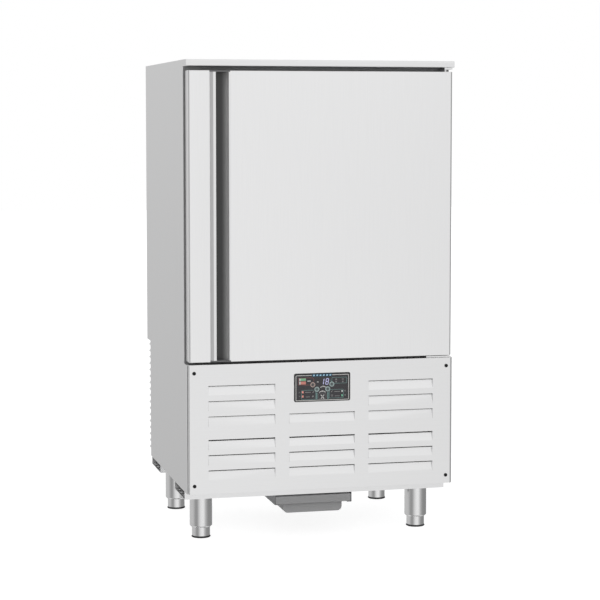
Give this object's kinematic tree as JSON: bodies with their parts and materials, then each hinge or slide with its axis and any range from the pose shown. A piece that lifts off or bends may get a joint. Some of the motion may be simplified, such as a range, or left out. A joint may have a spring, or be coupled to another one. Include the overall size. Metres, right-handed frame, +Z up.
{
  "type": "blast chiller",
  "caption": "Upright blast chiller: insulated chamber with a hinged full door, tray rack and fans, above a louvred machine compartment with a control, on adjustable legs.",
  "frame": {"origin": "centre of the footprint's bounding box on the floor, with the feet screwed in", "axes": "+X to the right seen from the front, +Y to the back, +Z up; the door and the louvred panel face -Y"},
  "size_m": [0.79, 0.72, 1.391],
  "materials": {
    "brushed_steel": "brushed stainless sheet, fine vertical or horizontal grain",
    "side_steel": "matt stainless sheet",
    "bright_steel": "bright turned steel",
    "leg_steel": "polished stainless tube",
    "foam": "rigid polyurethane foam",
    "gasket": "soft grey magnetic gasket",
    "black_rubber": "moulded rubber",
    "black_plastic": "matt black moulding",
    "display_plastic": "glossy printed face",
    "key_plastic": "grey key caps",
    "board": "green circuit board",
    "white_plastic": "white low-friction plastic",
    "screw_black": "black-coated screws",
    "tray_grey": "grey moulded plastic",
    "galvanised": "galvanised sheet",
    "aluminium": "plain aluminium fins",
    "fan_plastic": "dark moulded fan",
    "motor_paint": "dark grey enamel",
    "compressor_paint": "black enamel",
    "receiver_paint": "blue enamel",
    "copper": "drawn copper tube"
  },
  "bodies": {
    "cabinet": {"left_side_panel": "side_steel", "right_side_panel": "side_steel", "top_panel": "brushed_steel", "back_panel": "side_steel", "rear_cover": "side_steel", "insulation": "foam", "inner_liner": "brushed_steel", "front_frame": "brushed_steel", "deck": "galvanised", "base_pan": "galvanised", "base_beams": "side_steel", "front_posts": "galvanised", "leg_tubes": "leg_steel", "hinge_bracket_top": "bright_steel", "hinge_bracket_bottom": "bright_steel", "hinge_pins": "bright_steel", "lower_front_panel": "brushed_steel", "panel_screws": "screw_black", "control_bezel": "black_plastic", "control_face": "display_plastic", "control_housing": "black_plastic", "control_board": "board", "tray_rails": "galvanised", "rack_uprights": "brushed_steel", "tray_slides": "brushed_steel", "evaporator_cover": "brushed_steel", "evaporator_coil": "aluminium", "fan_motors": "motor_paint", "evaporator_fan_guards": "bright_steel", "compressor": "compressor_paint", "compressor_mounts": "black_rubber", "condenser_coil": "aluminium", "condenser_shroud": "galvanised", "receiver": "receiver_paint", "refrigerant_pipes": "copper", "electrical_box": "galvanised", "cable_gland": "black_plastic"},
    "door": {"door_skin": "brushed_steel", "door_inner_panel": "brushed_steel", "door_foam": "foam", "door_gasket": "gasket", "grip_profile": "brushed_steel", "grip_end_caps": "black_plastic", "hinge_bushes": "white_plastic"},
    "drip_tray": {"drip_tray": "tray_grey"},
    "foot_front_left": {"foot_front_left": "leg_steel", "pad_front_left": "black_rubber"},
    "foot_front_right": {"foot_front_right": "leg_steel", "pad_front_right": "black_rubber"},
    "foot_rear_left": {"foot_rear_left": "leg_steel", "pad_rear_left": "black_rubber"},
    "foot_rear_right": {"foot_rear_right": "leg_steel", "pad_rear_right": "black_rubber"},
    "key_upper_left": {"key_upper_left": "key_plastic"},
    "key_lower_left": {"key_lower_left": "key_plastic"},
    "key_lower_right": {"key_lower_right": "key_plastic"},
    "key_upper_right": {"key_upper_right": "key_plastic"},
    "evaporator_fan_upper": {"evaporator_fan_upper": "fan_plastic"},
    "evaporator_fan_lower": {"evaporator_fan_lower": "fan_plastic"},
    "condenser_fan": {"condenser_fan": "fan_plastic"}
  },
  "joints": [
    {"name": "door_hinge", "type": "hinge", "parent": "cabinet", "child": "door", "pos_m": [0.3742, -0.336, 0.947], "axis": [0, 0, 1], "range_deg": [0, 120]},
    {"name": "drip_tray_slide", "type": "slide", "parent": "cabinet", "child": "drip_tray", "axis": [0, -1, 0], "range_m": [0, 0.28]},
    {"name": "foot_front_left_screw", "type": "slide", "parent": "cabinet", "child": "foot_front_left", "axis": [0, 0, -1], "range_m": [0, 0.04]},
    {"name": "foot_front_right_screw", "type": "slide", "parent": "cabinet", "child": "foot_front_right", "axis": [0, 0, -1], "range_m": [0, 0.04]},
    {"name": "foot_rear_left_screw", "type": "slide", "parent": "cabinet", "child": "foot_rear_left", "axis": [0, 0, -1], "range_m": [0, 0.04]},
    {"name": "foot_rear_right_screw", "type": "slide", "parent": "cabinet", "child": "foot_rear_right", "axis": [0, 0, -1], "range_m": [0, 0.04]},
    {"name": "key_upper_left_press", "type": "slide", "parent": "cabinet", "child": "key_upper_left", "axis": [0, 1, 0], "range_m": [0, 0.0008], "stiffness_N_per_m": 800},
    {"name": "key_lower_left_press", "type": "slide", "parent": "cabinet", "child": "key_lower_left", "axis": [0, 1, 0], "range_m": [0, 0.0008], "stiffness_N_per_m": 800},
    {"name": "key_lower_right_press", "type": "slide", "parent": "cabinet", "child": "key_lower_right", "axis": [0, 1, 0], "range_m": [0, 0.0008], "stiffness_N_per_m": 800},
    {"name": "key_upper_right_press", "type": "slide", "parent": "cabinet", "child": "key_upper_right", "axis": [0, 1, 0], "range_m": [0, 0.0008], "stiffness_N_per_m": 800},
    {"name": "condenser_fan_spin", "type": "hinge", "parent": "cabinet", "child": "condenser_fan", "pos_m": [-0.165, -0.183, 0.3062], "axis": [0, 1, 0], "continuous": true},
    {"name": "evaporator_fan_upper_spin", "type": "hinge", "parent": "cabinet", "child": "evaporator_fan_upper", "pos_m": [0, 0.145, 1.12058], "axis": [0, 1, 0], "continuous": true},
    {"name": "evaporator_fan_lower_spin", "type": "hinge", "parent": "cabinet", "child": "evaporator_fan_lower", "pos_m": [0, 0.145, 0.77642], "axis": [0, 1, 0], "continuous": true}
  ]
}
